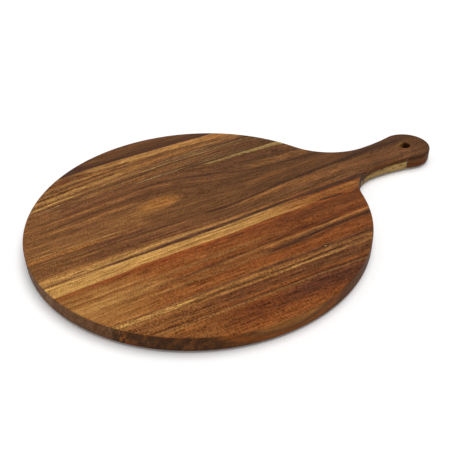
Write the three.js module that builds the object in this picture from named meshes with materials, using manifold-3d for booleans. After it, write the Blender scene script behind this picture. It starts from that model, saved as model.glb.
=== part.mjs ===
// A round wooden serving platter with a paddle handle. It is a panel of staves, glued edge to edge,
// sawn to outline, bored near the handle's end for hanging, and eased along its edges.
// Millimetres, +Z up. The origin is the disc's centre on the underside, and +X runs along the handle.

import * as THREE from 'three';
import { mergeVertices, toCreasedNormals } from 'three/addons/utils/BufferGeometryUtils.js';
import Module from 'manifold-3d';

// Outline
const DISC_DIAMETER = 356;
const THICKNESS = 16;
const BACK_SHOULDER_RADIUS = 71; // hollow curve that leads from the disc into the handle
const FRONT_SHOULDER_RADIUS = 54;
const END_WIDTH = 56; // across the handle's round end
const BACK_FLARE = 5; // how far a side of the handle widens from its neck, where the shoulder ends, to the round end
const FRONT_FLARE = 7.5;
const NECK_TO_END = 50.4; // along the handle, from the back's neck to the centre of the round end
const HOLE_DIAMETER = 13;
const HOLE_TO_TIP = 30.3; // from the hole's centre to the tip of the handle

// Rounding of the edges
const DISC_EASE = 1.5;
const HANDLE_EASE = 2.5;
const HOLE_EASE = 1.5;

// Staves, which run along X; the two inner ones fill the room between the handle's stave and the outer ones
const HANDLE_STAVE_BACK = 88; // from the handle's axis to the joint behind it
const HANDLE_STRIP_WIDTH = 3.8; // what the joint in front leaves on the handle's flare, at its widest
const HANDLE_STAVE_TAPER = 1; // degrees by which that joint runs outwards, away from the handle
const FRONT_STAVE_WIDTH = 68.5; // at its widest, from the rim
const BACK_STAVE_WIDTH = 30.5;
const GLUE_THICKNESS = 0.2;
const GLUE_CLEARANCE = 0.02; // left between a glue film and each stave

// Fineness of the facets
const CHORD_ERROR = 0.06; // the most that a facet strays from its arc
const EASE_STEPS = 3; // facets across a rounded edge
const CUTTER_MARGIN = 2; // how far a cutter reaches past the wood
const CREASE_ANGLE = Math.PI / 6; // edges sharper than this are shaded as edges

const COLOURS = {
  back_stave: '#5b3820',
  back_inner_stave: '#8a5c33',
  handle_stave: '#7a4b29',
  front_inner_stave: '#95552a',
  handle_strip: '#7f4522',
  front_stave: '#82471f',
  glue: '#4a2f1a',
};

const discRadius = DISC_DIAMETER / 2;
const endRadius = END_WIDTH / 2;
const holeRadius = HOLE_DIAMETER / 2;

// A shoulder touches the disc, so their centres lie the sum of their radii apart.
function shoulder(radius, flare) {
  const neckY = endRadius - flare;
  const y = neckY + radius;
  return { radius, flare, neckY, y, x: Math.sqrt((discRadius + radius) ** 2 - y ** 2) };
}

const backShoulder = shoulder(BACK_SHOULDER_RADIUS, BACK_FLARE);
const frontShoulder = shoulder(FRONT_SHOULDER_RADIUS, FRONT_FLARE);
const endX = backShoulder.x + NECK_TO_END;
const holeX = endX + endRadius - HOLE_TO_TIP;
const beyond = endX + endRadius + CUTTER_MARGIN; // past the end of the wood on every side

const wasm = await Module();
wasm.setup();

// Steps round a quarter circle of radius 1: how far in from the side, and how far from the flat face.
const QUARTER_ROUND = Array.from({ length: EASE_STEPS + 1 }, (_, step) => {
  const angle = (step / EASE_STEPS) * (Math.PI / 2);
  return { inset: 1 - Math.sin(angle), depth: 1 - Math.cos(angle) };
});

function arcSteps(radius, sweep) {
  const step = 2 * Math.acos(1 - CHORD_ERROR / radius);
  return Math.max(2, Math.ceil(Math.abs(sweep) / step));
}

// One arc of the outline. Going round anticlockwise, a rising angle bulges and a falling one hollows.
// Its edges are rounded by easeFrom at its start, changing evenly to easeTo at its end.
function arc(centreX, centreY, radius, from, to, easeFrom, easeTo) {
  return { centreX, centreY, radius, from, to, easeFrom, easeTo };
}

function mirrored(a) {
  return arc(a.centreX, -a.centreY, a.radius, -a.to, -a.from, a.easeTo, a.easeFrom);
}

// Points along an arc, without its last. Each can be moved inwards, square to the outline.
function arcPoints(a) {
  const count = arcSteps(a.radius, a.to - a.from);
  const side = Math.sign(a.to - a.from);
  return Array.from({ length: count }, (_, i) => {
    const share = i / count;
    const angle = THREE.MathUtils.lerp(a.from, a.to, share);
    const ease = THREE.MathUtils.lerp(a.easeFrom, a.easeTo, share);
    const inwards = (inset) => {
      const reach = a.radius - side * inset;
      return new THREE.Vector2(a.centreX + reach * Math.cos(angle), a.centreY + reach * Math.sin(angle));
    };
    return { ease, inwards };
  });
}

// Half of the outline, from the handle's tip to the far side of the disc.
// The flank is a long hollow arc, level at the neck and touching the round end.
function halfOutline({ radius, flare, neckY, x, y }) {
  const flankLength = endX - x;
  const flankRadius = (flankLength ** 2 + neckY ** 2 - endRadius ** 2) / (2 * flare);
  const flankY = neckY + flankRadius;
  const endAngle = Math.atan2(flankY, -flankLength);
  const discAngle = Math.atan2(y, x);
  const down = 1.5 * Math.PI;
  return [
    arc(endX, 0, endRadius, 0, endAngle, HANDLE_EASE, HANDLE_EASE),
    arc(x, flankY, flankRadius, endAngle + Math.PI, down, HANDLE_EASE, HANDLE_EASE),
    arc(x, y, radius, down, discAngle + Math.PI, HANDLE_EASE, DISC_EASE),
    arc(0, 0, discRadius, discAngle, Math.PI, DISC_EASE, DISC_EASE),
  ];
}

function boardOutline() {
  const frontHalf = halfOutline(frontShoulder).map(mirrored).reverse();
  return [...halfOutline(backShoulder), ...frontHalf].flatMap(arcPoints);
}

// The board before it is cut: rings of points from the underside to the top, joined and capped.
function boardGeometry() {
  const outline = boardOutline();
  const count = outline.length;
  const lower = QUARTER_ROUND.map(({ inset, depth }) =>
    outline.map(({ ease, inwards }) => ({ point: inwards(inset * ease), height: depth * ease })),
  );
  const upper = lower.map((ring) => ring.map(({ point, height }) => ({ point, height: THICKNESS - height })));
  const rings = [...lower, ...upper.reverse()];
  const positions = rings.flat().flatMap(({ point, height }) => [point.x, point.y, height]);

  const triangles = [];
  for (let ring = 0; ring < rings.length - 1; ring += 1) {
    for (let i = 0; i < count; i += 1) {
      const here = ring * count + i;
      const next = ring * count + ((i + 1) % count);
      triangles.push(here, next, next + count, here, next + count, here + count);
    }
  }
  const topStart = (rings.length - 1) * count;
  const cap = THREE.ShapeUtils.triangulateShape(rings[0].map(({ point }) => point), []);
  for (const [a, b, c] of cap) {
    triangles.push(c, b, a, topStart + a, topStart + b, topStart + c);
  }

  const geometry = new THREE.BufferGeometry();
  geometry.setAttribute('position', new THREE.Float32BufferAttribute(positions, 3));
  geometry.setIndex(triangles);
  return geometry;
}

// The cutter for the hanging hole, which widens at both mouths to round their edges.
function holeCutterGeometry() {
  const mouth = holeRadius + HOLE_EASE;
  const lower = QUARTER_ROUND.map(
    ({ inset, depth }) => new THREE.Vector2(holeRadius + inset * HOLE_EASE, depth * HOLE_EASE),
  );
  const upper = lower.map(({ x, y }) => new THREE.Vector2(x, THICKNESS - y)).reverse();
  const profile = [
    new THREE.Vector2(0, -CUTTER_MARGIN),
    new THREE.Vector2(mouth, -CUTTER_MARGIN),
    ...lower,
    ...upper,
    new THREE.Vector2(mouth, THICKNESS + CUTTER_MARGIN),
    new THREE.Vector2(0, THICKNESS + CUTTER_MARGIN),
  ];
  return new THREE.LatheGeometry(profile, arcSteps(holeRadius, 2 * Math.PI))
    .rotateX(Math.PI / 2)
    .translate(holeX, 0, 0);
}

function solid(geometry) {
  const bare = geometry.clone();
  bare.deleteAttribute('normal');
  bare.deleteAttribute('uv');
  const merged = mergeVertices(bare);
  return new wasm.Manifold(
    new wasm.Mesh({
      numProp: 3,
      vertProperties: merged.attributes.position.array,
      triVerts: Uint32Array.from(merged.index.array),
    }),
  );
}

// The bodies of the board between two lines, each given as Y at an X, the largest body first.
function bodiesBetween(board, front, back) {
  const band = new THREE.Shape([
    new THREE.Vector2(-beyond, front(-beyond)),
    new THREE.Vector2(beyond, front(beyond)),
    new THREE.Vector2(beyond, back(beyond)),
    new THREE.Vector2(-beyond, back(-beyond)),
  ]);
  const depth = THICKNESS + 2 * CUTTER_MARGIN;
  const slab = new THREE.ExtrudeGeometry(band, { depth, bevelEnabled: false }).translate(0, 0, -CUTTER_MARGIN);
  return board
    .intersect(solid(slab))
    .decompose()
    .filter((body) => !body.isEmpty())
    .sort((a, b) => b.volume() - a.volume());
}

function piece(name, body, colour, roughness) {
  const { vertProperties, triVerts } = body.getMesh();
  const geometry = new THREE.BufferGeometry();
  geometry.setAttribute('position', new THREE.BufferAttribute(vertProperties, 3));
  geometry.setIndex(new THREE.BufferAttribute(triVerts, 1));
  const material = new THREE.MeshStandardMaterial({ color: colour, roughness, metalness: 0 });
  const mesh = new THREE.Mesh(toCreasedNormals(geometry, CREASE_ANGLE), material);
  mesh.name = name;
  return mesh;
}

// Joints, and the room in front of them and behind them, as lines: the Y at an X
const taper = Math.tan(THREE.MathUtils.degToRad(HANDLE_STAVE_TAPER));
const frontJoint = () => FRONT_STAVE_WIDTH - discRadius;
const frontInnerJoint = (x) => HANDLE_STRIP_WIDTH - endRadius - taper * (endX - x);
const backInnerJoint = () => HANDLE_STAVE_BACK;
const backJoint = () => discRadius - BACK_STAVE_WIDTH;
const wayInFront = () => -beyond;
const wayBehind = () => beyond;

function shifted(line, distance) {
  return (x) => line(x) + distance;
}

// Where a joint crosses the handle's flare as well as the disc, a strip is left on the handle.
const STAVES = [
  { name: 'front_stave', front: wayInFront, back: frontJoint },
  { name: 'front_inner_stave', strip: 'handle_strip', front: frontJoint, back: frontInnerJoint },
  { name: 'handle_stave', front: frontInnerJoint, back: backInnerJoint },
  { name: 'back_inner_stave', front: backInnerJoint, back: backJoint },
  { name: 'back_stave', front: backJoint, back: wayBehind },
];
const GLUE_LINES = [
  { name: 'front_glue_line', joint: frontJoint },
  { name: 'front_inner_glue_line', strip: 'handle_strip_glue_line', joint: frontInnerJoint },
  { name: 'back_inner_glue_line', joint: backInnerJoint },
  { name: 'back_glue_line', joint: backJoint },
];
const WOOD_ROUGHNESS = 0.5;
const GLUE_ROUGHNESS = 0.6;

const board = solid(boardGeometry()).subtract(solid(holeCutterGeometry()));
const platter = new THREE.Group();

const staves = new THREE.Group();
const halfSeam = GLUE_THICKNESS / 2 + GLUE_CLEARANCE;
for (const { name, strip, front, back } of STAVES) {
  bodiesBetween(board, shifted(front, halfSeam), shifted(back, -halfSeam)).forEach((body, i) => {
    const part = i === 0 ? name : strip;
    staves.add(piece(part, body, COLOURS[part], WOOD_ROUGHNESS));
  });
}
platter.add(staves);

const glue = new THREE.Group();
for (const { name, strip, joint } of GLUE_LINES) {
  const halfGlue = GLUE_THICKNESS / 2;
  bodiesBetween(board, shifted(joint, -halfGlue), shifted(joint, halfGlue)).forEach((body, i) => {
    glue.add(piece(i === 0 ? name : strip, body, COLOURS.glue, GLUE_ROUGHNESS));
  });
}
platter.add(glue);

export default platter;
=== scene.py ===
# A round serving platter with a paddle handle: staves of oiled acacia, glued edge to edge into a panel,
# sawn to outline, bored near the handle's end for hanging, and eased along every edge.
# Metres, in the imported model's frame: +X along the handle, +Y across the staves, +Z up.

import math

import bmesh
import bpy
from mathutils import Color, Matrix, Vector


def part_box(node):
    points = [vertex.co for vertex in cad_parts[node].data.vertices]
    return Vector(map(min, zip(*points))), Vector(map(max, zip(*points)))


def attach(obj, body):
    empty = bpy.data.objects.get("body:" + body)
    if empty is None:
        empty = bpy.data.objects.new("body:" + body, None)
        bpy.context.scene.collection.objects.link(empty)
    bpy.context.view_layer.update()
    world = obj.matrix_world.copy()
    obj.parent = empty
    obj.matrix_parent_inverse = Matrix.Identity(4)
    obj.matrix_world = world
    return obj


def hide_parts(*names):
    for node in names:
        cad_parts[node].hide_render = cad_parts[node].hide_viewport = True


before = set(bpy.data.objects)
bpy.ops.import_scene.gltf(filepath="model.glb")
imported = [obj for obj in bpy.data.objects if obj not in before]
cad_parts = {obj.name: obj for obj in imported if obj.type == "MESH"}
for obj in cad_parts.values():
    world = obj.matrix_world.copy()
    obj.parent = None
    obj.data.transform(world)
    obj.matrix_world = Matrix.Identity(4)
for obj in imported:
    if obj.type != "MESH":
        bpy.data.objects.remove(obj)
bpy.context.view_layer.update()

# The panel, sawn to outline
# The staves are glued up into one flat panel, which is sawn to a disc with a paddle handle and bored.
# A router then eases its edges: a little along the disc, and more along the handle, where a hand closes.

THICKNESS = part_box("handle_stave")[1].z
DISC_RADIUS = 0.178
BACK_SHOULDER_RADIUS = 0.071  # the hollow curve between the disc and the handle
FRONT_SHOULDER_RADIUS = 0.054
END_RADIUS = 0.028  # the handle's round end
BACK_FLARE = 0.005  # how far a side of the handle widens from its neck to the round end
FRONT_FLARE = 0.0075
NECK_TO_END = 0.0504  # along the handle, from the back's neck to the centre of the round end
HOLE_TO_TIP = 0.0303
HOLE_RADIUS = 0.0065
DISC_EASE = 0.0015
HANDLE_EASE = 0.0025
HOLE_EASE = 0.0015
EASE_STEPS = 7
FLAT_MARGIN = 0.0006  # a narrow ring inside each eased edge, which keeps the flat faces flat in the light
CHORD_ERROR = 0.00002  # how far a step of a curve may stray from it
SHARP = math.radians(60)  # an edge of the sawn panel that turns further than this is eased
CREASE = math.radians(32)  # an edge of the finished wood that turns further than this shows as an edge
SAME_PLACE = 1e-7


def shoulder_centre(radius, flare):
    """The shoulder touches the disc, and ends level at the neck."""
    y = END_RADIUS - flare + radius
    return Vector((math.sqrt((DISC_RADIUS + radius) ** 2 - y ** 2), y))


def arc_steps(radius, sweep):
    return max(2, math.ceil(abs(sweep) / (2 * math.acos(1 - CHORD_ERROR / radius))))


back_shoulder = shoulder_centre(BACK_SHOULDER_RADIUS, BACK_FLARE)
front_shoulder = shoulder_centre(FRONT_SHOULDER_RADIUS, FRONT_FLARE)
end_x = back_shoulder.x + NECK_TO_END
hole = Vector((end_x + END_RADIUS - HOLE_TO_TIP, 0))


def ease_at(point):
    """How far the router rounds the edge at a point of the outline or of the hole."""
    if (point.xy - hole).length < (HOLE_RADIUS + END_RADIUS) / 2:
        return HOLE_EASE
    shoulder = back_shoulder if point.y > 0 else front_shoulder
    turn = math.atan2(shoulder.x - point.x, shoulder.y - abs(point.y)) / math.atan2(shoulder.x, shoulder.y)
    return HANDLE_EASE + min(max(turn, 0), 1) * (DISC_EASE - HANDLE_EASE)


# Each half of the outline runs from the handle's tip: round end, long hollow flank, shoulder and disc.
panel = bmesh.new()
for side, shoulder, shoulder_radius, flare in (
    (1, back_shoulder, BACK_SHOULDER_RADIUS, BACK_FLARE),
    (-1, front_shoulder, FRONT_SHOULDER_RADIUS, FRONT_FLARE),
):
    neck_y = END_RADIUS - flare
    flank_length = end_x - shoulder.x
    flank_radius = (flank_length ** 2 + neck_y ** 2 - END_RADIUS ** 2) / (2 * flare)
    end_angle = math.atan2(neck_y + flank_radius, -flank_length)
    disc_angle = math.atan2(shoulder.y, shoulder.x)
    end = panel.verts.new((end_x + END_RADIUS, 0, 0))
    for centre, radius, sweep in (
        ((end_x, 0), END_RADIUS, end_angle),
        ((shoulder.x, neck_y + flank_radius), flank_radius, math.pi / 2 - end_angle),
        (shoulder, shoulder_radius, disc_angle - math.pi / 2),
        ((0, 0), DISC_RADIUS, math.pi - disc_angle),
    ):
        turned = bmesh.ops.spin(
            panel, geom=[end], cent=(centre[0], side * centre[1], 0), axis=(0, 0, 1),
            angle=side * sweep, steps=arc_steps(radius, sweep),
        )
        end = turned["geom_last"][0]
bmesh.ops.remove_doubles(panel, verts=panel.verts[:], dist=CHORD_ERROR)
hole_steps = arc_steps(HOLE_RADIUS, 2 * math.pi)
bmesh.ops.create_circle(
    panel, radius=HOLE_RADIUS, segments=hole_steps, matrix=Matrix.Translation((*hole, 0))
)
bmesh.ops.triangle_fill(panel, edges=panel.edges[:], use_beauty=True, normal=(0, 0, 1))
raised = bmesh.ops.extrude_face_region(panel, geom=panel.faces[:])["geom"]
raised_verts = [part for part in raised if isinstance(part, bmesh.types.BMVert)]
bmesh.ops.translate(panel, verts=raised_verts, vec=(0, 0, THICKNESS))
bmesh.ops.recalc_face_normals(panel, faces=panel.faces[:])

# The router's round is a Bevel whose width follows each edge's weight.
weight = panel.edges.layers.float.new("bevel_weight_edge")
for edge in panel.edges:
    if edge.calc_face_angle(0) > SHARP:
        edge[weight] = ease_at((edge.verts[0].co + edge.verts[1].co) / 2) / HANDLE_EASE
sawn_mesh = bpy.data.meshes.new("sawn_panel")
panel.to_mesh(sawn_mesh)
sawn_panel = bpy.data.objects.new("sawn_panel", sawn_mesh)
bpy.context.scene.collection.objects.link(sawn_panel)
router = sawn_panel.modifiers.new("eased_edges", "BEVEL")
router.limit_method = "WEIGHT"
router.width = HANDLE_EASE
router.segments = EASE_STEPS
router.profile = 0.5
router.use_clamp_overlap = False
router.loop_slide = False
panel.clear()
panel.from_object(sawn_panel, bpy.context.evaluated_depsgraph_get())
bpy.data.objects.remove(sawn_panel)
for height in (0, THICKNESS):
    flat = [f for f in panel.faces if all(abs(v.co.z - height) < SAME_PLACE for v in f.verts)]
    bmesh.ops.inset_region(panel, faces=flat, thickness=FLAT_MARGIN, use_even_offset=True)

# Back stave
# The narrow stave at the far rim: dark brown heartwood, darkest along its joint.
# It is planed square on that edge, glued to the next stave, and left to the saw's curve behind.

GLUE_THICKNESS = 0.0002
GLUE_CLEARANCE = 0.00002
MILLIMETRES = 1000  # in a metre; the figure of the wood is drawn in millimetres
SWAY = 5.0  # millimetres that the fibres wander across the grain, over a long way
RAGGED = 4.0  # and over a short way
LONGEST_TAPER = 30  # millimetres over which a streak comes and goes
TAPER_SHARE = 0.35  # of a shorter streak's length
VEIN_DRAW = 700  # millimetres along the grain to other fibres, so that two sets don't match
BROAD_SHADE = 0.7  # how strongly each kind of fibre lightens and darkens the wood
NARROW_SHADE = 1.4
DASH_SHADE = 2.6
RIPPLE_SHADE = 2.8
DARKEST = -0.7
LIGHTEST = 0.9
GREEN_SHADE = 1.12  # against red, so that a dark fibre is redder than a pale one
BLUE_SHADE = 1.2
VEIN_SHARE = 0.45
PORE_SHARE = 0.6
CLEAN_WALL = 0.7  # how much less mottled the walls are
WALL_SHARE = 0.85  # of the end grain on a wall
BAR_SHARE = 0.65
SHADED_FOOT_HEIGHT = 4  # millimetres of a wall that painted shade darkens towards the floor
FOOT_SHADE_SHARE = 0.5
SATIN = 0.48  # the oiled wood's roughness
SHINE = 0.03  # and its specular level
TONES = {
    "honey": "#b8874a",
    "chestnut": "#7a4e2e",
    "brown": "#6f4628",
    "walnut": "#56361d",
    "purple_brown": "#4b2c21",
    "dark_walnut": "#432919",
    # a near-black brown, for dark bars of end grain and for painted shade
    "dark_bars_and_shade": "#38291f",
}


class Grain:
    """A value, vector or colour in a material. Arithmetic on a value adds Math nodes."""

    def __init__(self, tree, socket):
        self.tree = tree
        self.socket = socket

    def node(self, kind, settings, sockets, output=0):
        made = self.tree.nodes.new(kind)
        for name, value in settings.items():
            if name == "stops":
                elements = made.color_ramp.elements
                while len(elements) < len(value):
                    elements.new(1)
                for element, (position, colour) in zip(elements, value):
                    element.position = position
                    element.color = colour
            elif name == "points":
                curve = made.mapping.curves[0].points
                while len(curve) < len(value):
                    curve.new(1, 1)
                for point, place in zip(curve, value):
                    point.location = place
                made.mapping.update()
            else:
                setattr(made, name, value)
        for place, value in sockets.items():
            if isinstance(value, Grain):
                self.tree.links.new(value.socket, made.inputs[place])
            else:
                made.inputs[place].default_value = value
        return Grain(self.tree, made.outputs[output])

    def maths(self, operation, first, second):
        return self.node("ShaderNodeMath", {"operation": operation}, {0: first, 1: second})

    def __add__(self, other):
        return self.maths("ADD", self, other)

    def __sub__(self, other):
        return self.maths("SUBTRACT", self, other)

    def __rsub__(self, other):
        return self.maths("SUBTRACT", other, self)

    def __mul__(self, other):
        return self.maths("MULTIPLY", self, other)

    def __truediv__(self, other):
        return self.maths("DIVIDE", self, other)

    def __abs__(self):
        return self.maths("ABSOLUTE", self, 0)

    __radd__ = __add__
    __rmul__ = __mul__


def stain(code):
    """A colour as it is written on a colour card, made ready for a shader."""
    red, green, blue = (int(code[at:at + 2], 16) / 255 for at in (1, 3, 5))
    return (*Color((red, green, blue)).from_srgb_to_scene_linear(), 1)


def tone(name):
    return stain(TONES[name])


def rise(value, start, end):
    """0 before start and 1 after end, smooth between; a start above the end makes it fall."""
    return value.node(
        "ShaderNodeMapRange",
        {"interpolation_type": "SMOOTHSTEP"},
        {"Value": value, "From Min": start, "From Max": end},
    )


def within(value, start, full, fading, end):
    """Rises from 0 to 1 between start and full, and falls again between fading and end."""
    return rise(value, start, full) * rise(value, end, fading)


def spread(value, start, end, first=0.0, last=1.0, clamp=True):
    """The value from start to end, spread evenly from first to last."""
    return value.node(
        "ShaderNodeMapRange",
        {"clamp": clamp},
        {"Value": value, "From Min": start, "From Max": end, "To Min": first, "To Max": last},
    )


def line(along, points):
    """The line drawn through a few points, as the place across the grain for each place along it."""
    (start, first), (end, last) = points[0], points[-1]
    if len(points) == 2:
        return spread(along, start, end, first, last, clamp=False)
    low = min(y for _, y in points)
    high = max(y for _, y in points)
    shares = [((x - start) / (end - start), (y - low) / (high - low)) for x, y in points]
    share = spread(along, start, end)
    curve = along.node("ShaderNodeFloatCurve", {"points": shares}, {"Value": share})
    return spread(curve, 0, 1, low, high)


def fibres(along, across, up, length, width, detail=2.0):
    """Noise drawn out along the grain, from 0 to 1."""
    drawn_out = {0: along / length, 1: across / width, 2: up / width}
    place = along.node("ShaderNodeCombineXYZ", {}, drawn_out)
    return along.node("ShaderNodeTexNoise", {}, {"Vector": place, "Scale": 1.0, "Detail": detail})


def bands(across, stops):
    """Tones that follow one another across the grain."""
    low, high = stops[0][0], stops[-1][0]
    share = spread(across, low, high)
    coloured = [((y - low) / (high - low), tone(name)) for y, name in stops]
    return across.node("ShaderNodeValToRGB", {"stops": coloured}, {0: share})


def blend(first, second, share):
    """Mixes two colours. A colour's sockets are the node's seventh and eighth, and its third output."""
    return share.node("ShaderNodeMix", {"data_type": "RGBA"}, {0: share, 6: first, 7: second}, 2)


def streaks(figure, along, across, up, drawn):
    """Lays single streaks over the figure: a tone, half a width, a strength, and points along the grain."""
    broken = spread(fibres(along, across, up, length=30, width=1.2, detail=3.0), 0.36, 0.56, 0.35, 1)
    for name, half_width, strength, points in drawn:
        start, end = points[0][0], points[-1][0]
        taper = min(LONGEST_TAPER, TAPER_SHARE * (end - start))
        away = abs(across - line(along, points))
        body = rise(away, 1.3 * half_width, 0.4 * half_width)
        ends = within(along, start, start + taper, end - taper, end)
        figure = blend(figure, tone(name), body * ends * broken * strength)
    return figure


def raw_wood(name, lean):
    """A new wood, and where a point of it lies in millimetres: along the grain, across it, level across the
    board, and up. The growth rings lean, so what lies across the grain shifts on the way down.
    The last value is 1 on the walls that the saw leaves."""
    wood = bpy.data.materials.new(name)
    wood.use_nodes = True
    tree = wood.node_tree
    place = Grain(tree, tree.nodes.new("ShaderNodeTexCoord").outputs["Object"])
    dot = {"operation": "DOT_PRODUCT"}
    along, level, up = (
        place.node("ShaderNodeVectorMath", dot, {0: place, 1: axis}, "Value")
        for axis in MILLIMETRES * Matrix.Identity(3)
    )
    across = level + lean * (up - THICKNESS * MILLIMETRES)
    across = across + SWAY * (fibres(along, across, up, length=130, width=26, detail=1.0) - 0.5)
    across = across + RAGGED * (fibres(along, across, up, length=40, width=2.4, detail=3.0) - 0.5)
    normal = Grain(tree, tree.nodes.new("ShaderNodeTexCoord").outputs["Normal"])
    upright = normal.node("ShaderNodeVectorMath", dot, {0: normal, 1: (0, 0, 1)}, "Value")
    wall = rise(abs(upright), 0.85, 0.35)
    return wood, along, across, level, up, wall


def barred(figure, along, across, up, wall, pale, dark):
    """On its walls a stave shows the ends of its fibres, as upright bars of two tones, with painted shade
    that darkens them at the foot.
    """
    bars = rise(fibres(up, along, across, length=60, width=3.5, detail=3.0), 0.44, 0.58)
    ends = blend(tone(pale), tone(dark), BAR_SHARE * bars)
    # Painted shade darkens each wall towards the floor.
    ends = blend(ends, tone("dark_bars_and_shade"), FOOT_SHADE_SHARE * rise(up, SHADED_FOOT_HEIGHT, 0))
    return blend(figure, ends, WALL_SHARE * wall)


def oiled(wood, figure, along, flow, up, wall, mottle, vein):
    """Sands and oils a wood, whose fibres and pores run along the flow. Its walls are less mottled."""
    tree = wood.node_tree
    mottle = mottle * (1 - CLEAN_WALL * wall)
    broad = fibres(along, flow, up, length=140, width=5.0) - 0.5
    narrow = fibres(along, flow, up, length=50, width=1.4, detail=3.0) - 0.5
    dashes = fibres(along, flow, up, length=14, width=0.75) - 0.5
    ripple = fibres(flow, along, up, length=3.0, width=0.85, detail=1.0) - 0.5
    shade = (
        BROAD_SHADE * broad + NARROW_SHADE * narrow
        + DASH_SHADE * mottle * dashes + RIPPLE_SHADE * mottle * ripple
    )
    shade = spread(shade, DARKEST, LIGHTEST, DARKEST, LIGHTEST)
    channels = {0: 1 + shade, 1: 1 + GREEN_SHADE * shade, 2: 1 + BLUE_SHADE * shade}
    tint = shade.node("ShaderNodeCombineXYZ", {}, channels)
    colour = shade.node("ShaderNodeVectorMath", {"operation": "MULTIPLY"}, {0: figure, 1: tint})
    veins = rise(fibres(along + VEIN_DRAW, flow, up, length=90, width=1.2), 0.57, 0.66)
    pores = rise(fibres(along, flow, up, length=18, width=0.5, detail=1.0), 0.58, 0.68)
    colour = blend(colour, tone(vein), VEIN_SHARE * veins)
    colour = blend(colour, tone("dark_walnut"), PORE_SHARE * mottle * pores)
    relief = dashes * 0.5 + narrow * 0.3 - pores * 0.6
    shader = tree.nodes["Principled BSDF"]
    shader.inputs["Specular IOR Level"].default_value = SHINE
    tree.links.new(colour.socket, shader.inputs["Base Color"])
    tree.links.new((SATIN + 0.2 * pores + 0.2 * narrow).socket, shader.inputs["Roughness"])
    bumped = relief.node(
        "ShaderNodeBump", {}, {"Strength": 0.35, "Distance": 0.0002, "Height": relief}, "Normal"
    )
    tree.links.new(bumped.socket, shader.inputs["Normal"])


def joint(glue_line):
    """A straight joint: a point in it, and the direction square to it, towards the back."""
    low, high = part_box(glue_line)
    return (low + high) / 2, Vector((0, 1, 0))


def sawn(front=None, back=None, gap=GLUE_THICKNESS / 2 + GLUE_CLEARANCE):
    """The part of the panel between two joints, each less a gap. With one joint it runs on to the rim."""
    part = panel.copy()
    for seam, side in ((front, -1), (back, 1)):
        if seam:
            point, square = seam
            cut_at = point - side * gap * square
            everything = part.verts[:] + part.edges[:] + part.faces[:]
            bmesh.ops.bisect_plane(
                part, geom=everything, dist=SAME_PLACE, plane_co=cut_at, plane_no=side * square,
                clear_outer=True,
            )
    bmesh.ops.holes_fill(part, edges=[e for e in part.edges if e.is_boundary], sides=0)
    return part


def finished(name, part, material, node):
    """Shades a sawn part, and sets it in the place of its solid."""
    bmesh.ops.recalc_face_normals(part, faces=part.faces[:])
    for face in part.faces:
        face.smooth = True
    for edge in part.edges:
        edge.smooth = edge.calc_face_angle(0) < CREASE
    mesh = bpy.data.meshes.new(name)
    part.to_mesh(mesh)
    part.free()
    mesh.materials.append(material)
    made = bpy.data.objects.new(name, mesh)
    bpy.context.scene.collection.objects.link(made)
    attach(made, "root")
    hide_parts(node)


back_joint = joint("back_glue_line")
back_wood, along, across, level, up, wall = raw_wood("back_stave_acacia", lean=0.4)

# The dark wood's edge meets the joint at the middle, and curves in front of it towards both ends.
dark_edge = [
    (-120, 138), (-100, 142), (-60, 146), (-20, 147.2), (20, 147.8), (50, 147.8), (80, 146.8), (110, 145),
]
past_edge = level - line(along, dark_edge)
figure = bands(across - line(along, dark_edge), [
    (-4, "purple_brown"), (1, "dark_walnut"), (3, "purple_brown"), (6, "walnut"), (9, "walnut"),
    (14, "brown"), (19, "walnut"), (24, "brown"), (30, "brown"), (36, "chestnut"),
])
figure = blend(figure, tone("purple_brown"), 0.8 * rise(along, -55, -85))
figure = streaks(figure, along, across, up, [
    ("walnut", 1.2, 0.8, [(-70, 161), (60, 163)]),
    ("chestnut", 1.0, 0.3, [(-60, 166), (70, 168)]),
])
figure = blend(tone("honey"), figure, rise(past_edge, -0.7, 0.7))
figure = barred(figure, along, across, up, wall, "brown", "walnut")
oiled(back_wood, figure, along, across, up, wall, mottle=0.45, vein="dark_walnut")
finished("back_stave_wood", sawn(front=back_joint), back_wood, "back_stave")

# Back inner stave
# Brown and honey stripes that rise towards the middle of the board, with pale sapwood along the far joint.
# It is planed square on both edges and glued between the back stave and the handle's stave.

STRIPE_CLIMB = 0.075  # half the slope of the stripes on the left, before they bend level
BEND_AT = -10  # millimetres along
BEND_RADIUS = 60
PALE_DRAW = 300  # millimetres to other fibres again, as for the veins
DARK_DRAW = 500
TONES.update({
    "pale_honey": "#c89853",
    "straw": "#b4925c",
    "golden": "#9f6834",
    "tan": "#895c31",
    "mauve": "#75492b",
    "red_brown": "#6a381a",
    "grey_brown": "#674426",
})


def root(value):
    return value.node("ShaderNodeMath", {"operation": "SQRT"}, {0: value})


back_inner_joint = joint("back_inner_glue_line")
back_inner_wood, along, across, level, up, wall = raw_wood("back_inner_stave_acacia", lean=0.5)
past_bend = along - BEND_AT
flow = across - STRIPE_CLIMB * (past_bend - root(past_bend * past_bend + BEND_RADIUS ** 2))
left = bands(flow, [
    (88, "chestnut"), (92, "brown"), (96, "chestnut"), (101, "brown"), (104, "tan"), (107, "walnut"),
    (110, "brown"), (112, "tan"), (115.5, "golden"), (117, "tan"), (119, "brown"), (121, "tan"),
    (123, "golden"), (126, "golden"), (127.5, "brown"), (129, "golden"), (132, "tan"), (134.5, "brown"),
    (136.5, "walnut"), (138.5, "golden"), (142, "golden"), (145, "brown"), (148, "red_brown"),
    (151, "red_brown"), (154, "tan"), (160, "brown"),
])
right = bands(flow, [
    (86, "walnut"), (94, "walnut"), (98, "grey_brown"), (101, "mauve"), (104, "brown"), (106, "walnut"),
    (109, "walnut"), (111, "brown"), (114, "grey_brown"), (118, "mauve"), (121, "grey_brown"),
    (123, "chestnut"), (126, "tan"), (130, "golden"), (133, "tan"), (136, "brown"), (139, "golden"),
    (152, "golden"),
])
figure = blend(left, right, rise(along, -50, 30))

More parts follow.
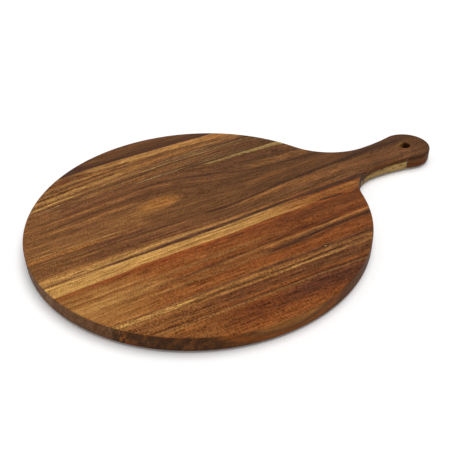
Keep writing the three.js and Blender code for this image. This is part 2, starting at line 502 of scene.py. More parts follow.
# Single pale and dark fibres lie over the bands, and the stave darkens towards the right.
pale_fibres = fibres(along + PALE_DRAW, flow, up, length=120, width=1.1)
dark_fibres = fibres(along + DARK_DRAW, flow, up, length=120, width=1.1)
figure = blend(figure, tone("straw"), 0.7 * rise(pale_fibres, 0.55, 0.63))
figure = blend(figure, tone("walnut"), 0.85 * rise(dark_fibres, 0.56, 0.64))
figure = blend(figure, tone("walnut"), 0.5 * rise(along, 55, 120) * rise(across, 126, 116))
figure = streaks(figure, along, across, up, [
    ("red_brown", 1.8, 1.0, [(-125, 131), (-100, 135), (-75, 137), (-50, 137)]),
    ("dark_walnut", 1.1, 1.1, [(-75, 130), (-50, 133.3), (-10, 136.6), (15, 136.6), (55, 134.8)]),
    ("dark_walnut", 0.9, 0.8, [(-125, 114.5), (-60, 125.5), (-25, 130)]),
    ("dark_walnut", 0.9, 0.8, [(-150, 105), (-107, 113.2), (-76, 118), (-45, 122.4), (-25, 125.5)]),
    ("honey", 2.8, 0.75, [(-150, 101), (-120, 106.3), (-80, 113.3), (-60, 115), (-40, 117.3), (-10, 121)]),
    ("pale_honey", 0.8, 0.5, [(-145, 101.5), (-100, 109), (-60, 114.5), (-30, 118.5)]),
    ("walnut", 2.0, 0.7, [(-135, 92.5), (-90, 98), (-60, 102), (-30, 105)]),
    ("tan", 1.1, 0.9, [(-125, 88.5), (-75, 93.5), (-40, 97.5), (0, 101)]),
    ("golden", 1.2, 1.0, [(-125, 115.5), (-93, 119.5), (-64, 123.5), (-44, 126.7), (-25, 129)]),
    ("golden", 1.0, 0.9, [(-115, 126), (-70, 131), (-30, 133)]),
    ("pale_honey", 1.0, 1.4, [(-165, 88.5), (-148, 92.4), (-125, 96.6), (-112, 98.6), (-85, 101.5)]),
    ("straw", 0.7, 0.7, [(-100, 100), (-70, 103.9), (-41, 108.1), (0, 113.9)]),
    ("dark_walnut", 0.9, 0.7, [(-75, 97), (-20, 102.5), (10, 106.3), (60, 107)]),
    ("golden", 2.6, 0.9, [(-45, 121.5), (-12, 124.5), (30, 126), (65, 125.5)]),
    ("chestnut", 2.2, 0.8, [(-65, 129), (-30, 131.5), (12, 133)]),
    ("walnut", 2.0, 0.6, [(60, 129.5), (115, 128.5)]),
    ("tan", 2.4, 0.9, [(-20, 101.5), (15, 103.5), (75, 104)]),
    ("tan", 2.2, 0.9, [(-15, 96), (60, 97)]),
    ("mauve", 1.4, 0.7, [(35, 109), (115, 109)]),
    ("walnut", 2.2, 0.7, [(45, 91.5), (110, 91)]),
    ("walnut", 1.1, 0.9, [(-45, 112), (0, 117), (25, 119.7), (60, 120.3)]),
    ("golden", 0.8, 0.8, [(-105, 87.5), (-60, 91), (20, 98)]),
    ("golden", 0.8, 0.8, [(-70, 94), (-20, 98), (30, 101)]),
    ("dark_walnut", 1.3, 0.7, [(34, 94.5), (54, 94.5)]),
    ("dark_walnut", 1.4, 0.7, [(85, 119), (150, 119)]),
    ("chestnut", 2.6, 0.8, [(45, 106.5), (150, 106.5)]),
])

# A wedge of honey wood lies along the dark edge.
wedge_foot = line(along, [(-110, 139.5), (-60, 137.5), (-20, 136.5), (60, 136), (130, 132)])
wedge = rise(across - wedge_foot, -1, 1.5)
past_edge = level - line(along, dark_edge)
wedge = wedge * rise(past_edge, 0.7, -0.7) * rise(along, -110, -45)
wedge_tone = blend(tone("honey"), tone("golden"), 0.55 + 0.4 * rise(along, 55, 110))
figure = blend(figure, wedge_tone, 0.9 * wedge)
figure = streaks(figure, along, level, up, [
    ("pale_honey", 2.4, 0.7, [(-85, 138.5), (-50, 140), (0, 140.5), (35, 140)]),
])
figure = blend(figure, tone("purple_brown"), rise(past_edge, -0.7, 0.7) * rise(along, -20, -50))
figure = barred(figure, along, across, up, wall, "chestnut", "walnut")
oiled(back_inner_wood, figure, along, flow, up, wall, mottle=0.75, vein="dark_walnut")
finished(
    "back_inner_stave_wood", sawn(back_inner_joint, back_joint), back_inner_wood,
    "back_inner_stave",
)

# Handle stave
# The wide middle stave, glued on both edges, which runs on into the handle. It is sawn from near the heart
# of the log, so its growth rings close round an eye and run out as pointed arches towards the handle.

STRIP_WIDTH = 0.0038  # what the joint in front leaves on the handle's flare, at its widest
JOINT_TURN = math.radians(1)  # of that joint, from the handle's direction
ARCH_TOP = 79  # millimetres across, where the arches' upper and lower sides start on the left
ARCH_LOW = -3.5
TOP_DROP = 39  # millimetres by which each side closes in on the way to the handle
LOW_LIFT = 14
LEFT_CLIMB = 0.045  # half the slope of the stripes left of the eye
CLIMB_END = -20  # millimetres along
CLIMB_RADIUS = 30
TONES.update({
    "sapwood": "#9f804c",
    "orange_brown": "#844a22",
    "end_grain": "#73513c",
})


def ellipse(along, across, centre, radii):
    """0 at the centre, 1 on the ellipse, and more outside it."""
    first = (along - centre[0]) / radii[0]
    second = (across - centre[1]) / radii[1]
    return root(first * first + second * second)


front_inner_joint = (
    Vector((end_x, STRIP_WIDTH - END_RADIUS, 0)),
    Vector((-math.sin(JOINT_TURN), math.cos(JOINT_TURN), 0)),
)
handle_wood, along, across, level, up, wall = raw_wood("handle_stave_acacia", lean=0.45)

# The flow climbs a little as far as the eye, and then closes in with the arches towards the handle.
past_climb = along - CLIMB_END
left_rise = LEFT_CLIMB * (root(past_climb * past_climb + CLIMB_RADIUS ** 2) - past_climb)
top_shift = TOP_DROP * rise(along, -30, 150) + left_rise
low_shift = -LOW_LIFT * rise(along, 20, 190)
arch_top = ARCH_TOP - top_shift
arch_low = ARCH_LOW - low_shift
inside = rise((across - arch_low) / (arch_top - arch_low), 0, 1)
above = spread(across, arch_top + 5, 89, 1, 0.45)
flow = across + low_shift + (top_shift * above - low_shift) * inside
left = bands(flow, [
    (-34, "honey"), (-24, "honey"), (-21.5, "golden"), (-19, "chestnut"), (-16, "brown"),
    (-13, "chestnut"), (-10, "brown"), (-6, "chestnut"), (-3, "brown"), (1, "brown"), (5, "brown"),
    (9, "chestnut"), (13, "tan"), (17, "chestnut"), (22, "tan"), (28, "chestnut"), (34, "tan"),
    (40, "chestnut"), (44, "brown"), (48, "chestnut"), (53, "tan"), (57, "chestnut"), (63, "brown"),
    (68, "chestnut"), (74, "chestnut"), (77, "chestnut"), (80, "brown"), (84, "chestnut"), (88, "brown"),
    (95, "chestnut"), (105, "brown"),
])
right = bands(across, [
    (-34, "walnut"), (-24, "brown"), (-20, "chestnut"), (-16, "grey_brown"), (-10, "brown"),
    (-5, "chestnut"), (2, "chestnut"), (5, "grey_brown"), (9, "walnut"), (13, "grey_brown"),
    (20, "brown"), (28, "brown"), (34, "grey_brown"), (40, "walnut"), (44, "grey_brown"),
    (50, "chestnut"), (56, "chestnut"), (61, "grey_brown"), (66, "walnut"), (70, "chestnut"),
    (76, "chestnut"), (81, "grey_brown"), (86, "walnut"), (90, "walnut"),
])
grip = bands(across, [
    (-28, "brown"), (-24, "walnut"), (-22, "chestnut"), (-19, "brown"), (-16.5, "walnut"),
    (-13, "grey_brown"), (-10, "brown"), (0, "brown"), (7, "grey_brown"), (10, "walnut"),
    (13.5, "dark_walnut"), (17, "dark_walnut"), (20, "walnut"), (28, "walnut"),
])

# It is paler at the left rim, and darker round the eye, between the arches and at the handle's tip.
left = blend(left, tone("chestnut"), 0.85 * rise(along, -120, -30) * rise(flow, -17, -20))
figure = blend(blend(left, right, rise(along, 0, 90)), grip, rise(along, 175, 225))
figure = blend(figure, tone("walnut"), 0.36 * within(along, -5, 30, 150, 190))
figure = blend(figure, tone("walnut"), 0.95 * rise(along, 274, 296))
figure = blend(figure, tone("tan"), 0.4 * rise(along, -105, -150))
round_the_eye = within(along, -65, -30, 20, 50) * within(level, -10, 0, 70, 77)
figure = blend(figure, tone("walnut"), 0.45 * round_the_eye)
arched = within(along, -10, 40, 180, 215)
pale_fibres = fibres(along + PALE_DRAW, flow, up, length=120, width=1.8)
dark_fibres = fibres(along + DARK_DRAW, flow, up, length=120, width=1.8)
figure = blend(figure, tone("tan"), 0.5 * arched * rise(pale_fibres, 0.56, 0.66))
figure = blend(figure, tone("dark_walnut"), 0.5 * arched * rise(dark_fibres, 0.56, 0.66))

# The eye has a pale halo on its left, dark rings on its right, and a golden heart.
halo = ellipse(along, across, centre=(-58, 33), radii=(46, 14))
figure = blend(figure, tone("tan"), 0.7 * rise(halo * halo, 1.2, 0.1))
rings = ellipse(along, across, centre=(-30, 42), radii=(60, 19))
ring_lines = rise(fibres(12 * rings, 12 * rings, up, length=1.2, width=1.2), 0.46, 0.6)
ringed = within(rings, 0.4, 0.5, 0.85, 1.05) * rise(along, -22, 0)
figure = blend(figure, tone("walnut"), 0.65 * ringed * ring_lines)
eye = ellipse(along, across, centre=(-27, 40.5), radii=(28, 11.5))
figure = blend(figure, tone("golden"), rise(eye * eye, 1.3, 0.0))
figure = streaks(figure, along, across, up, [
    ("golden", 1.1, 1.0, [(-180, 59), (-140, 63.5), (-100, 66.5), (-60, 69)]),
    ("golden", 1.0, 0.7, [(-90, 67.3), (-60, 69), (-30, 70.7), (0, 66.5), (15, 62)]),
    ("dark_walnut", 1.3, 0.6, [(-175, 65), (-120, 69), (-80, 72), (-40, 75.5)]),
    ("dark_walnut", 2.7, 0.75,
     [(-70, 72.5), (-20, 75.7), (0, 74.3), (20, 70), (60, 59), (90, 49.5), (130, 43), (200, 38.5)]),
    ("purple_brown", 2.4, 0.8, [(4, 74.5), (25, 68.5), (55, 60.5)]),
    ("walnut", 2.2, 0.6, [(-170, 48.5), (-125, 54), (-90, 59), (-40, 61), (0, 60)]),
    ("dark_walnut", 1.1, 0.7, [(-138, 53.5), (-112, 55)]),
    ("golden", 1.6, 0.6, [(-165, 45.5), (-120, 46.5), (-80, 51.5), (-35, 53)]),
    ("walnut", 1.1, 0.8, [(-95, 44.3), (-40, 48.5)]),
    ("grey_brown", 2.0, 0.5, [(-170, 39), (-95, 40)]),
    ("golden", 3.6, 1.0, [(-200, 8), (-150, 8.5), (-85, 8.7)]),
    ("honey", 1.0, 1.0, [(-190, 13.5), (-120, 13), (-65, 11)]),
    ("golden", 0.8, 0.8, [(-125, 8.4), (-55, 5)]),
    ("purple_brown", 1.6, 0.6, [(-190, 3), (-120, 4), (-45, 2)]),
    ("dark_walnut", 1.0, 0.9, [(-190, -4), (-130, -4), (-60, -1.5), (-10, -6)]),
    ("tan", 0.9, 1.1, [(-190, -8), (-140, -7), (-60, -5), (-10, -9.5)]),
    ("walnut", 1.0, 0.4, [(-190, -11), (-50, -10)]),
    ("honey", 2.0, 0.6, [(-115, -20.5), (-40, -20)]),
    ("honey", 2.9, 1.0, [(-190, -25), (-80, -25), (-10, -24.8)]),
    ("honey", 1.7, 0.9, [(-60, -25.2), (0, -24.9), (40, -24.5)]),
    ("golden", 1.5, 0.8, [(-20, -25), (60, -24), (120, -22.3)]),
    ("orange_brown", 1.5, 0.8, [(80, -22), (120, -20.5), (170, -19)]),
    ("walnut", 0.8, 0.7, [(-55, -20.7), (40, -20), (105, -17)]),
    ("walnut", 0.8, 0.7, [(-5, -12), (110, -12.5)]),
    ("walnut", 0.8, 0.6, [(-5, -16.5), (120, -15)]),
    ("golden", 2.0, 0.5, [(30, -6), (47, -4.8), (72, -2.6), (93, -0.5), (118, 2)]),
    ("golden", 3.0, 0.3, [(105, -5), (150, -3), (205, -0.5)]),
    ("walnut", 2.4, 0.7, [(-5, -12.5), (50, -12), (105, -12.5)]),
    ("golden", 4.2, 0.5, [(32, -8), (60, -5.5), (85, -2.7), (120, -1.5), (160, -1)]),
    ("dark_walnut", 2.2, 1.2,
     [(-5, -1), (30, -2.4), (63, 0.2), (107, 5.1), (133, 6.8), (180, 10), (230, 13.5)]),
    ("walnut", 5.5, 0.6, [(105, 16.5), (150, 18.5), (205, 20)]),
    ("tan", 1.6, 0.7, [(-10, 9.3), (30, 12), (60, 15)]),
    ("tan", 3.5, 0.6, [(60, 20), (95, 26), (135, 29)]),
    ("orange_brown", 3.0, 0.5, [(75, 23), (100, 27), (135, 29)]),
    ("dark_walnut", 1.8, 0.5, [(62, 11), (100, 17), (145, 20.5)]),
    ("dark_walnut", 1.1, 0.9, [(82, 34), (107, 34)]),
    ("tan", 1.6, 0.6, [(12, 61.5), (30, 55), (50, 48)]),
    ("dark_walnut", 2.7, 0.8, [(70, 71), (100, 67.5), (130, 65), (170, 62)]),
    ("walnut", 4.6, 0.75, [(50, 75.5), (100, 76.5), (155, 76.5)]),
    ("dark_walnut", 2.2, 0.9, [(66, 57), (90, 49.3), (105, 46), (120, 43.6), (150, 41.3), (195, 39.5)]),
    ("tan", 4.0, 0.6, [(75, 54), (130, 52.5), (185, 48)]),
    ("dark_walnut", 1.0, 0.5, [(200, -17.5), (268, -17)]),
])

# The joint in front shows as a dark line, which spreads into both staves.
dark_joint = [
    ("brown", 1.5, 1.0, [(-215, -32.9), (-120, -31.4), (-60, -30.3)]),
    ("purple_brown", 1.9, 1.5, [(-120, -31.8), (-80, -31.1), (-20, -30.4)]),
    ("purple_brown", 2.3, 1.7, [(-80, -31), (-20, -30.5), (20, -29.8), (80, -27.7)]),
    ("purple_brown", 1.4, 1.0, [(-18, -32), (38, -30.9)]),
    ("red_brown", 1.8, 0.8, [(62, -31.4), (160, -31)]),
    ("dark_walnut", 2.3, 1.7, [(30, -29.2), (60, -28.2), (105, -27), (210, -26.5)]),
    ("red_brown", 4.4, 1.2, [(85, -27), (130, -27.6), (260, -27)]),
    ("dark_walnut", 3.2, 1.4, [(95, -26.8), (150, -26.9), (260, -26.2)]),
]
figure = streaks(figure, along, level, up, dark_joint)

# A pale wedge of sapwood lies along the joint behind.
wedge_foot = line(along, [(35, 85.2), (70, 83.5), (110, 82.8), (165, 80.6)])
wedge_head = line(along, [(35, 86), (100, 87.8), (165, 90)])
wedge = rise(across - wedge_foot, -0.5, 0.6) * rise(across - wedge_head, 0.5, -0.5) * rise(along, 35, 75)
figure = blend(figure, tone("sapwood"), 0.9 * wedge)

# The near side of the handle cuts into pale sapwood, whose ragged top climbs towards the handle's end.
ragged_up = up + 5 * (fibres(along, up, across, length=9, width=1.6, detail=3.0) - 0.5)
above_pale = ragged_up - spread(along, 195, 262, 6.8, 10.8)
near_side = within(level, -25.3, -24.7, -18, -16) * within(along, 170, 180, 284, 292)
dark_side = near_side * rise(ragged_up, 14.5, 13.5) * rise(above_pale, 0.2, 1.2)
figure = blend(figure, tone("walnut"), 0.7 * dark_side)
pale_side = blend(tone("sapwood"), tone("straw"), rise(along, 205, 240))
figure = blend(figure, pale_side, near_side * rise(above_pale, 0.4, -0.4))
for mark_along, mark_up in ((244, 5.5), (254, 7)):
    mark = rise(0.6 * abs(along - mark_along) + 1.6 * abs(up - mark_up), 2.4, 0.8)
    figure = blend(figure, tone("chestnut"), 0.7 * mark * near_side)

# The disc's wall shows end grain, with painted shade at its foot. The bore has a painted highlight where the
# light falls in, and painted shade on the other side.
disc_wall = wall * rise(along, 170, 120)
figure = barred(figure, along, across, up, disc_wall, "end_grain", "walnut")
hole_along = along - hole.x * MILLIMETRES
hole_level = level - hole.y * MILLIMETRES
bore = rise(hole_along * hole_along + hole_level * hole_level, 9 ** 2, 8 ** 2) * wall
figure = blend(figure, tone("honey"), 0.9 * bore * rise(hole_along - hole_level, -1, -6))
figure = blend(figure, tone("dark_walnut"), bore * rise(hole_along - hole_level, -4, 3))
oiled(handle_wood, figure, along, flow, up, wall, mottle=0.7, vein="walnut")
finished(
    "handle_stave_wood", sawn(front_inner_joint, back_inner_joint), handle_wood,
    "handle_stave",
)

# Front inner stave
# A broad band of honey sapwood beside the handle's stave, then rust-red and orange-brown heartwood.
# It is glued between the handle's stave and the front stave, and ends where the shoulder's curve cuts it.

FRONT_INNER_SLOPE = 0.015  # its stripes drift a little towards the back on the way to the handle
TONES["rust"] = "#8a4720"

front_joint = joint("front_glue_line")
front_inner_wood, along, across, level, up, wall = raw_wood("front_inner_stave_acacia", lean=0.5)
flow = across - FRONT_INNER_SLOPE * along
left = bands(flow, [
    (-112, "orange_brown"), (-107, "orange_brown"), (-103, "rust"), (-99, "orange_brown"),
    (-95, "orange_brown"), (-91, "tan"), (-87, "orange_brown"), (-83, "tan"), (-78, "orange_brown"),
    (-74, "orange_brown"), (-70, "tan"), (-66, "orange_brown"), (-60, "orange_brown"),
    (-56, "orange_brown"), (-53, "rust"), (-49.5, "rust"), (-48.4, "orange_brown"), (-47.4, "honey"),
    (-46, "pale_honey"), (-44, "honey"), (-40.5, "honey"), (-38, "pale_honey"), (-35, "honey"),
    (-33, "pale_honey"), (-31, "honey"), (-28, "golden"),
])
right = bands(flow, [
    (-114, "orange_brown"), (-109, "orange_brown"), (-105, "orange_brown"), (-98, "orange_brown"),
    (-93, "red_brown"), (-89, "brown"), (-86, "chestnut"), (-84, "tan"), (-82, "orange_brown"),
    (-79, "red_brown"), (-74, "red_brown"), (-68, "orange_brown"), (-60, "red_brown"), (-54, "red_brown"),
    (-50, "orange_brown"), (-47, "orange_brown"), (-45, "orange_brown"), (-42, "golden"),
    (-40, "orange_brown"), (-38, "golden"), (-35, "golden"), (-33, "orange_brown"), (-28, "brown"),
])
figure = blend(left, right, rise(along + 45 * rise(flow, -48, -52), 40, 130))
figure = blend(figure, tone("golden"), 0.55 * rise(along, -60, -130) * rise(flow, -49, -52))
figure = blend(figure, tone("honey"), 0.3 * rise(along, -85, -140) * rise(flow, -52, -57))
figure = streaks(figure, along, across, up, [
    ("rust", 4.5, 0.5, [(-140, -53.5), (-70, -52.5), (60, -51)]),
    ("rust", 2.2, 1.1, [(-150, -52.5), (-105, -50.5), (-60, -49), (0, -48.2), (60, -47), (178, -46.8)]),
    ("red_brown", 4.0, 0.6, [(-15, -50.5), (20, -50), (70, -49), (178, -48.5)]),
    ("honey", 4.0, 0.55, [(-190, -81.5), (-130, -80.5), (-55, -78.5)]),
    ("golden", 1.8, 0.8, [(-165, -93.3), (-100, -92), (-55, -91.3)]),
    ("golden", 4.4, 0.5, [(-165, -101.5), (-60, -103.5), (30, -105.5)]),
    ("tan", 1.6, 0.8, [(-65, -36.2), (0, -35.4), (45, -34.6)]),
    ("orange_brown", 3.4, 0.6, [(25, -34.2), (175, -33.8)]),
    ("red_brown", 5.5, 0.9, [(50, -57), (90, -58), (185, -57)]),
    ("walnut", 4.5, 0.35, [(70, -59.5), (120, -60), (185, -59)]),
    ("honey", 0.9, 0.9, [(-185, -67), (-120, -66.2), (-75, -65.5)]),
    ("golden", 1.6, 0.8, [(-180, -72.5), (-110, -71), (-50, -70)]),
    ("golden", 0.8, 0.7, [(-60, -64.5), (10, -64)]),
    ("red_brown", 0.8, 0.9, [(-180, -70), (-140, -69.3), (-80, -68)]),
    ("red_brown", 1.9, 0.7, [(-100, -86), (-40, -81.5), (15, -78.5)]),
    ("red_brown", 3.0, 0.4, [(-45, -84.5), (35, -83.5)]),
    ("red_brown", 2.5, 0.4, [(-40, -92.8), (35, -92)]),
    ("red_brown", 3.0, 0.6, [(110, -67.5), (178, -67)]),
    ("red_brown", 2.0, 0.6, [(105, -84.7), (170, -84)]),
    ("walnut", 2.0, 0.8, [(-70, -83.7), (-20, -80), (20, -78), (75, -77)]),
    ("dark_walnut", 1.0, 0.8, [(58, -77), (105, -73)]),
    ("golden", 1.3, 1.2, [(10, -83.4), (60, -82.5), (175, -80.2)]),
    ("dark_walnut", 2.3, 1.6, [(15, -91.7), (50, -90), (80, -88.3), (180, -85.7)]),
    ("dark_walnut", 0.9, 1.0, [(45, -92), (78, -92)]),
    ("dark_walnut", 1.1, 1.2, [(0, -52.5), (27, -52)]),
    ("dark_walnut", 0.8, 0.8, [(28, -52), (52, -51.5)]),
    ("dark_walnut", 1.0, 1.0, [(90, -52), (120, -51.8)]),
    ("dark_walnut", 1.5, 1.6, [(112, -43.5), (156, -46)]),
    ("dark_walnut", 1.4, 1.6, [(160, -46.5), (184, -45.5)]),
    ("dark_walnut", 1.4, 1.5, [(84, -78.8), (132, -78)]),
    ("dark_walnut", 1.3, 1.5, [(134, -75.7), (159, -75.3)]),
    ("golden", 0.8, 0.8, [(-10, -107.5), (70, -107.2)]),
    ("honey", 2.0, 0.7, [(-185, -77.5), (-120, -76), (-70, -74.5)]),
    ("orange_brown", 0.8, 0.9, [(-62, -33.4), (-6, -32.4)]),
    ("golden", 0.6, 0.9, [(-115, -38.6), (0, -37.6), (70, -36.5)]),
    ("tan", 0.6, 1.0, [(-60, -42), (50, -41)]),
    ("golden", 0.6, 0.9, [(-75, -44.8), (45, -44)]),
    ("tan", 0.9, 0.9, [(5, -34), (60, -33), (125, -31.8)]),
    ("orange_brown", 0.7, 0.9, [(20, -37.6), (115, -36.4)]),
    ("orange_brown", 0.7, 0.8, [(35, -40.5), (130, -39.5)]),
    ("tan", 0.6, 0.8, [(-150, -43.5), (-70, -42.5)]),
    ("red_brown", 1.0, 0.5, [(0, -109), (155, -109)]),
])
figure = streaks(figure, along, level, up, dark_joint)
figure = barred(figure, along, across, up, wall, "end_grain", "walnut")
# Painted shade darkens its wall in the hollow of the shoulder.
figure = blend(figure, tone("dark_bars_and_shade"), 0.8 * wall * rise(along, 165, 185))
figure = blend(figure, tone("sapwood"), wall * rise(along, 190.5, 192) * rise(up, 8, 6.5))

# The honey band and the left rim are less mottled than the rest.
calm_honey = 0.25 * rise(flow, -50, -46) * rise(along, 110, 60)
calm_left = 0.3 * rise(flow, -46, -50) * rise(along, -70, -130)
mottle = 0.78 - calm_honey - calm_left
oiled(front_inner_wood, figure, along, flow, up, wall, mottle, vein="red_brown")
disc_only = sawn(front_joint, front_inner_joint)
beyond_disc = [v for v in disc_only.verts if v.co.x > front_shoulder.x]
bmesh.ops.delete(disc_only, geom=beyond_disc, context="VERTS")
finished("front_inner_stave_wood", disc_only, front_inner_wood, "front_inner_stave")

# Handle strip
# A sliver of the front inner stave's red-brown heartwood, left on the near side of the handle's flare.
# The saw parted it from its stave when it cut the hollow of the shoulder.

strip_wood, along, across, level, up, wall = raw_wood("handle_strip_acacia", lean=0.5)
figure = bands(up, [
    (0, "brown"), (5, "red_brown"), (9, "brown"), (12, "walnut"), (14, "dark_walnut"), (16, "walnut"),
])
oiled(strip_wood, figure, along, across, up, wall, mottle=0.4, vein="dark_walnut")
strip_only = sawn(front_joint, front_inner_joint)
short_of_handle = [v for v in strip_only.verts if v.co.x < front_shoulder.x]
bmesh.ops.delete(strip_only, geom=short_of_handle, context="VERTS")
finished("handle_strip_wood", strip_only, strip_wood, "handle_strip")

# Front stave
# The stave at the near rim: honey and brown stripes along its joint, then deep red-brown heartwood.
# It is planed square on one edge and glued on. Where the saw's curve meets its rings, its wall shows arches.

FRONT_SLOPE = -0.026  # its stripes drift towards the front rim on the way to the handle's side

front_wood, along, across, level, up, wall = raw_wood("front_stave_acacia", lean=0.6)
flow = across - FRONT_SLOPE * along
figure = bands(flow, [
    (-182, "tan"), (-174, "orange_brown"), (-167, "orange_brown"), (-163, "red_brown"),
    (-148, "red_brown"), (-145, "orange_brown"), (-142.5, "tan"), (-140.5, "brown"),
    (-138.5, "red_brown"), (-136, "orange_brown"), (-133, "brown"), (-130, "red_brown"),
    (-127.5, "brown"), (-125, "red_brown"), (-123.5, "brown"), (-121.5, "tan"), (-120, "tan"),
    (-118.7, "brown"), (-117, "tan"), (-115, "golden"), (-113, "tan"), (-111, "brown"),
    (-108, "orange_brown"),
])
figure = blend(figure, tone("walnut"), 0.55 * rise(along, 0, 60) * within(flow, -138, -133, -126, -122))
figure = blend(figure, tone("brown"), 0.5 * rise(along, 30, 100) * rise(flow, -121, -119))
deep_red = rise(along, -10, 35) * within(flow, -162, -156, -144, -141)
figure = blend(figure, tone("purple_brown"), 0.6 * deep_red)
figure = blend(figure, tone("golden"), 0.35 * rise(along, -30, -80))
figure = streaks(figure, along, across, up, [
    ("honey", 2.9, 0.9, [(-170, -111), (-120, -113.2), (-75, -114.6), (-42, -115.2)]),
    ("pale_honey", 1.2, 0.9, [(-165, -110.6), (-120, -112.6), (-75, -114.2), (-50, -114.8)]),
    ("golden", 1.3, 1.0, [(-120, -117.8), (-50, -120.3), (0, -121.3), (40, -122.3)]),
    ("honey", 1.6, 0.9, [(5, -121.3), (60, -122.4), (110, -123.2)]),
    ("tan", 1.3, 0.8, [(80, -122.8), (145, -124)]),
    ("dark_walnut", 0.7, 0.8, [(-125, -116.7), (0, -118.7), (125, -119.8)]),
    ("dark_walnut", 0.9, 0.7, [(-66, -122.9), (-20, -124.3), (20, -125.7)]),
    ("dark_walnut", 0.9, 0.9, [(-135, -134.3), (-80, -136.5), (0, -139.5), (60, -141.5), (130, -142.6)]),
    ("golden", 1.0, 0.4, [(-115, -139.3), (0, -143), (45, -144.2)]),
    ("purple_brown", 1.1, 0.85, [(0, -111.2), (60, -111.9), (150, -113)]),
    ("dark_walnut", 1.1, 0.8, [(80, -112.6), (145, -113.5)]),
    ("walnut", 1.2, 0.6, [(-40, -157), (60, -160)]),
])

# A small pale knot with a dark rim lies beside the joint.
knot = abs(along - 79.5) + 1.5 * abs(level + 111.5)
figure = blend(figure, tone("dark_walnut"), rise(knot, 5.5, 3.4))
figure = blend(figure, tone("sapwood"), rise(knot, 2.2, 1.2))

# Its wall has dark bars on the left, arches in the middle, and painted shade at the foot.
ends = bands(along, [
    (-146, "end_grain"), (-141, "end_grain"), (-139.5, "dark_walnut"), (-138, "dark_walnut"),
    (-136.5, "golden"), (-132, "orange_brown"), (-126, "brown"), (-112, "walnut"), (-104, "walnut"),
    (-92, "brown"), (-78, "walnut"), (-66, "walnut"), (-52, "brown"), (35, "brown"), (50, "walnut"),
    (146, "walnut"),
])
bars = rise(fibres(up, along, across, length=60, width=4.5, detail=3.0), 0.44, 0.52)
ends = blend(ends, tone("dark_bars_and_shade"), 0.9 * bars * rise(along, -40, -70))
arch = ellipse(along, up, centre=(-3, 17), radii=(46, 11))
arch = arch + 0.25 * (fibres(along, up, across, length=20, width=4.0) - 0.5)
arches = bands(arch, [
    (0, "tan"), (0.6, "golden"), (0.75, "tan"), (0.85, "brown"), (0.95, "chestnut"), (1.02, "brown"),
    (1.15, "orange_brown"), (1.4, "orange_brown"), (1.7, "brown"),
])
ends = blend(ends, arches, rise(arch, 1.6, 1.3) * rise(along, 65, 40))
# Painted shade darkens the wall towards the floor.
ends = blend(ends, tone("dark_bars_and_shade"), FOOT_SHADE_SHARE * rise(up, SHADED_FOOT_HEIGHT, 0))
figure = blend(figure, ends, WALL_SHARE * wall)
oiled(front_wood, figure, along, flow, up, wall, mottle=0.95, vein="red_brown")
finished("front_stave_wood", sawn(back=front_joint), front_wood, "front_stave")

# Glue lines
# A thin film of glue in each joint, squeezed out, cured to a dark amber, and sanded flush with the wood.

GLUE = "#5a3a20"
glue = bpy.data.materials.new("cured_glue")
glue.use_nodes = True
glue_shader = glue.node_tree.nodes["Principled BSDF"]
glue_place = Grain(glue.node_tree, glue.node_tree.nodes.new("ShaderNodeTexCoord").outputs["Object"])
cloud = glue_place.node("ShaderNodeTexNoise", {}, {"Vector": glue_place, "Scale": 400.0})
amber = blend(stain(GLUE), tone("dark_walnut"), rise(cloud, 0.3, 0.7))
glue.node_tree.links.new(amber.socket, glue_shader.inputs["Base Color"])
glue.node_tree.links.new((0.4 + 0.2 * cloud).socket, glue_shader.inputs["Roughness"])


def film(seam):
    return sawn(seam, seam, -GLUE_THICKNESS / 2)


for node, seam in (
    ("back_glue_line", back_joint),
    ("back_inner_glue_line", back_inner_joint),
    ("front_glue_line", front_joint),
):
    finished(node.replace("line", "film"), film(seam), glue, node)
for node, on_handle in (("front_inner_glue_line", False), ("handle_strip_glue_line", True)):
    layer = film(front_inner_joint)
    elsewhere = [v for v in layer.verts if (v.co.x > front_shoulder.x) != on_handle]
    bmesh.ops.delete(layer, geom=elsewhere, context="VERTS")
    finished(node.replace("line", "film"), layer, glue, node)
panel.free()

# Camera
# It stands in front of the board and a little to the left, as the photographer did, and looks down on it.

IMAGE_WIDTH = 452  # pixels
FOCAL_LENGTH = 660  # pixels
ELEVATION = math.radians(35.842)
TURN = math.radians(28.718)  # of the board, anticlockwise, as the camera sees it
ROLL = math.radians(-1.443)
STAND_OFF = Vector((0.02787, 0.00027, 0.69307))  # from the disc's centre, along the camera's own axes

lens = bpy.data.cameras.new("camera")
lens.lens = lens.sensor_width * FOCAL_LENGTH / IMAGE_WIDTH
camera = bpy.data.objects.new("camera", lens)
bpy.context.scene.collection.objects.link(camera)
aim = (
    Matrix.Rotation(-TURN, 3, "Z")
    @ Matrix.Rotation(math.pi / 2 - ELEVATION, 3, "X")
    @ Matrix.Rotation(ROLL, 3, "Z")
)
camera.matrix_world = Matrix.Translation(aim @ STAND_OFF) @ aim.to_4x4()
bpy.context.scene.camera = camera

# Floor and light
# A white studio sweep, lit by an even white room and one wide soft lamp from the right and behind.

FLOOR_SIZE = 20
FLOOR_DROP = 0.002  # a gap that darkens the line where the board meets the floor
FLOOR_BOUNCE = 0.8
FLOOR_GLOW = 0.05  # what the paper adds for the camera, so that it is white a little way from the board
ROOM_LEVEL = 0.42
LAMP_SHARE = 0.6  # of the light that falls on the serving face
LAMP_HEIGHT = math.radians(78)
LAMP_SIDE = math.radians(52)  # clockwise from straight behind the board, as the camera sees it
LAMP_WIDTH = math.radians(48)

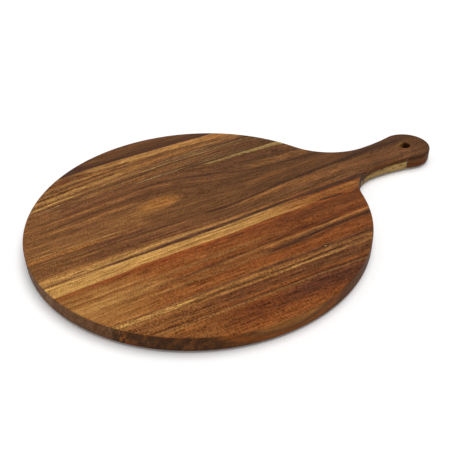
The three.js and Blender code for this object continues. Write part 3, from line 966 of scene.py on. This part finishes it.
sweep = bmesh.new()
bmesh.ops.create_grid(sweep, size=FLOOR_SIZE / 2, matrix=Matrix.Translation((0, 0, -FLOOR_DROP)))
floor_mesh = bpy.data.meshes.new("floor")
sweep.to_mesh(floor_mesh)
sweep.free()
floor = bpy.data.objects.new("floor", floor_mesh)
bpy.context.scene.collection.objects.link(floor)

paper = bpy.data.materials.new("white_sweep")
paper.use_nodes = True
paper_shader = paper.node_tree.nodes["Principled BSDF"]
paper_shader.inputs["Specular IOR Level"].default_value = 0
paper_shader.inputs["Roughness"].default_value = 1


def seen(tree):
    """1 for a ray that shows the background itself, and 0 for one that lights the board."""
    rays = tree.nodes.new("ShaderNodeLightPath").outputs
    straight, mirrored, through = (
        Grain(tree, rays[name]) for name in ("Is Camera Ray", "Is Glossy Ray", "Is Transmission Ray")
    )
    shown = straight + mirrored + through
    return shown.node("ShaderNodeMath", {"operation": "MINIMUM"}, {0: shown, 1: 1.0})


white = blend((FLOOR_BOUNCE,) * 3 + (1,), (1, 1, 1, 1), seen(paper.node_tree))
paper.node_tree.links.new(white.socket, paper_shader.inputs["Base Color"])
glow = blend((0, 0, 0, 1), (FLOOR_GLOW,) * 3 + (1,), seen(paper.node_tree))
paper.node_tree.links.new(glow.socket, paper_shader.inputs["Emission Color"])
paper_shader.inputs["Emission Strength"].default_value = 1
floor_mesh.materials.append(paper)

room = bpy.data.worlds.new("white_room")
room.use_nodes = True
bpy.context.scene.world = room
brightness = spread(seen(room.node_tree), 0, 1, ROOM_LEVEL, 1)
background = room.node_tree.nodes["Background"]
background.inputs["Color"].default_value = (1, 1, 1, 1)
room.node_tree.links.new(brightness.socket, background.inputs["Strength"])

lamp = bpy.data.lights.new("soft_lamp", "SUN")
lamp.energy = LAMP_SHARE * math.pi / math.sin(LAMP_HEIGHT)
lamp.angle = LAMP_WIDTH
lamp_stand = bpy.data.objects.new("soft_lamp", lamp)
bpy.context.scene.collection.objects.link(lamp_stand)
lamp_stand.matrix_world = (
    Matrix.Rotation(-TURN - LAMP_SIDE, 4, "Z") @ Matrix.Rotation(LAMP_HEIGHT - math.pi / 2, 4, "X")
)

bpy.context.scene.view_settings.view_transform = "Standard"
